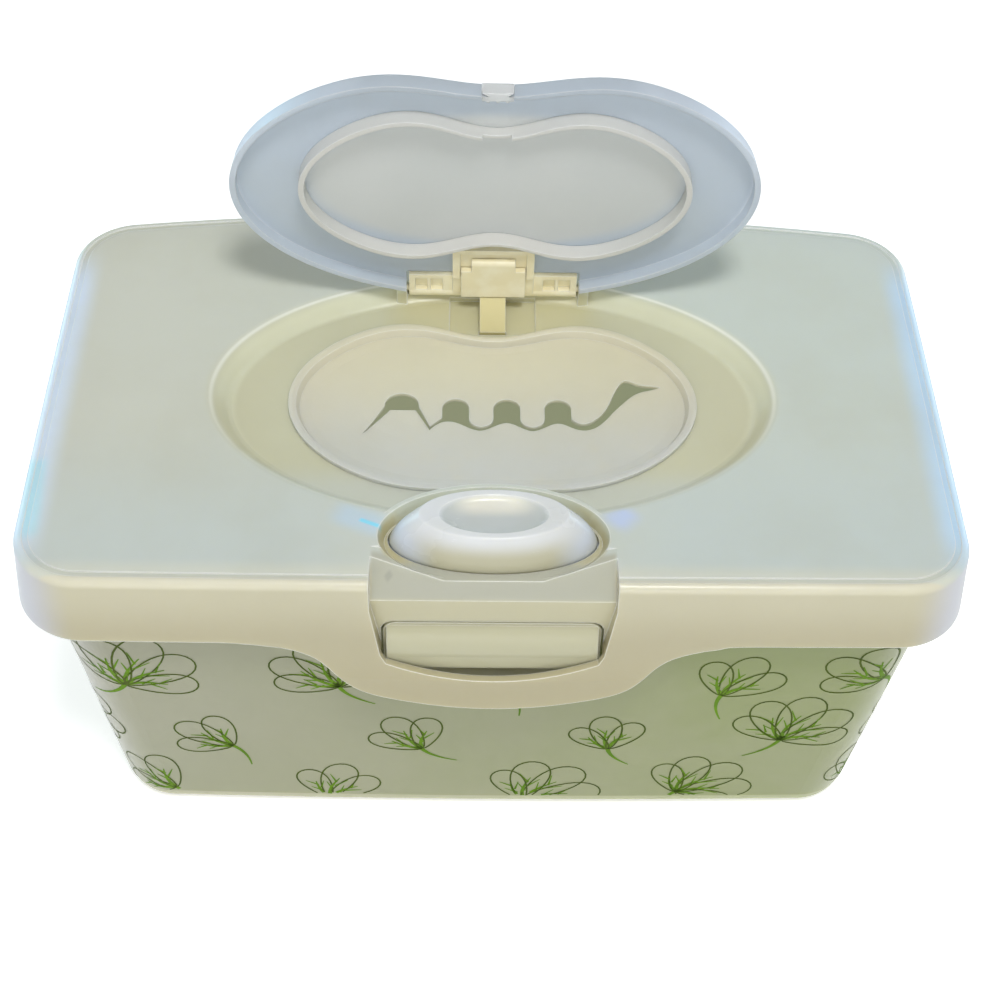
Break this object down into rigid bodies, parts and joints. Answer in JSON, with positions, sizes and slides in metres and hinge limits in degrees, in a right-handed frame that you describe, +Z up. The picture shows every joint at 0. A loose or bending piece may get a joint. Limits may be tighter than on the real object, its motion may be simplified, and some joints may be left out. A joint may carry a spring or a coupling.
{
  "type": "countertop wipes dispenser",
  "caption": "Tapered tub for wet wipes with a hinged lid, a pop-up orifice, a sprung flip lid and a latch button.",
  "frame": {"origin": "centre of the tub's base, on the surface that it stands on", "axes": "+X to the right seen from the front, +Y to the rear hinge, +Z up"},
  "size_m": [0.2206, 0.1375, 0.1742],
  "materials": {
    "tub": "satin",
    "tub_wrap": "gloss",
    "rear_hinge_pin_left": "satin",
    "rear_hinge_pin_right": "satin",
    "latch_tongue": "satin",
    "main_lid": "satin",
    "orifice_insert": "satin",
    "orifice_frame": "satin",
    "latch_retainer": "satin",
    "button_spring": "plain",
    "strap_anchor": "satin",
    "spring_strap": "satin",
    "push_button": "gloss",
    "latch_slider": "satin",
    "flip_lid": "gloss",
    "flip_seal_ring": "gloss",
    "catch_lug": "gloss",
    "hinge_carrier": "satin",
    "strap_clip": "satin",
    "flip_hinge_pin_left": "satin",
    "flip_hinge_pin_right": "satin"
  },
  "bodies": {
    "tub": {"tub": "tub", "tub_wrap": "tub_wrap", "rear_hinge_pin_left": "rear_hinge_pin_left", "rear_hinge_pin_right": "rear_hinge_pin_right"},
    "latch_tongue": {"latch_tongue": "latch_tongue"},
    "main_lid": {"main_lid": "main_lid", "orifice_insert": "orifice_insert", "orifice_frame": "orifice_frame", "latch_retainer": "latch_retainer", "button_spring": "button_spring", "strap_anchor": "strap_anchor", "spring_strap": "spring_strap"},
    "button": {"push_button": "push_button"},
    "latch_slider": {"latch_slider": "latch_slider"},
    "flip_lid": {"flip_lid": "flip_lid", "flip_seal_ring": "flip_seal_ring", "catch_lug": "catch_lug", "hinge_carrier": "hinge_carrier", "strap_clip": "strap_clip", "flip_hinge_pin_left": "flip_hinge_pin_left", "flip_hinge_pin_right": "flip_hinge_pin_right"}
  },
  "joints": [
    {"name": "main_lid_hinge", "type": "hinge", "parent": "tub", "child": "main_lid", "pos_m": [0, 0.0635, 0.088], "axis": [-1, 0, 0], "range_deg": [0, 95]},
    {"name": "tongue_flex", "type": "hinge", "parent": "tub", "child": "latch_tongue", "pos_m": [0, -0.0582, 0.069], "axis": [-1, 0, 0], "range_deg": [0, 8], "stiffness_Nm_per_rad": 2, "springref_deg": -1.15},
    {"name": "flip_lid_hinge", "type": "hinge", "parent": "main_lid", "child": "flip_lid", "pos_m": [0, 0.0385, 0.104], "axis": [1, 0, 0], "range_deg": [0, 83], "stiffness_Nm_per_rad": 0.02, "springref_deg": -20.05, "deforming": ["spring_strap"]},
    {"name": "button_press", "type": "slide", "parent": "main_lid", "child": "button", "axis": [0, 0, -1], "range_m": [0, 0.0025], "stiffness_N_per_m": 600, "springref_m": -0.001, "deforming": ["button_spring"]},
    {"name": "latch_slide", "type": "slide", "parent": "main_lid", "child": "latch_slider", "axis": [0, -1, 0], "range_m": [0, 0.0014]}
  ],
  "couplings": [
    {"joint": "latch_slide", "follows": "button_press", "ratio": 0.56}
  ]
}
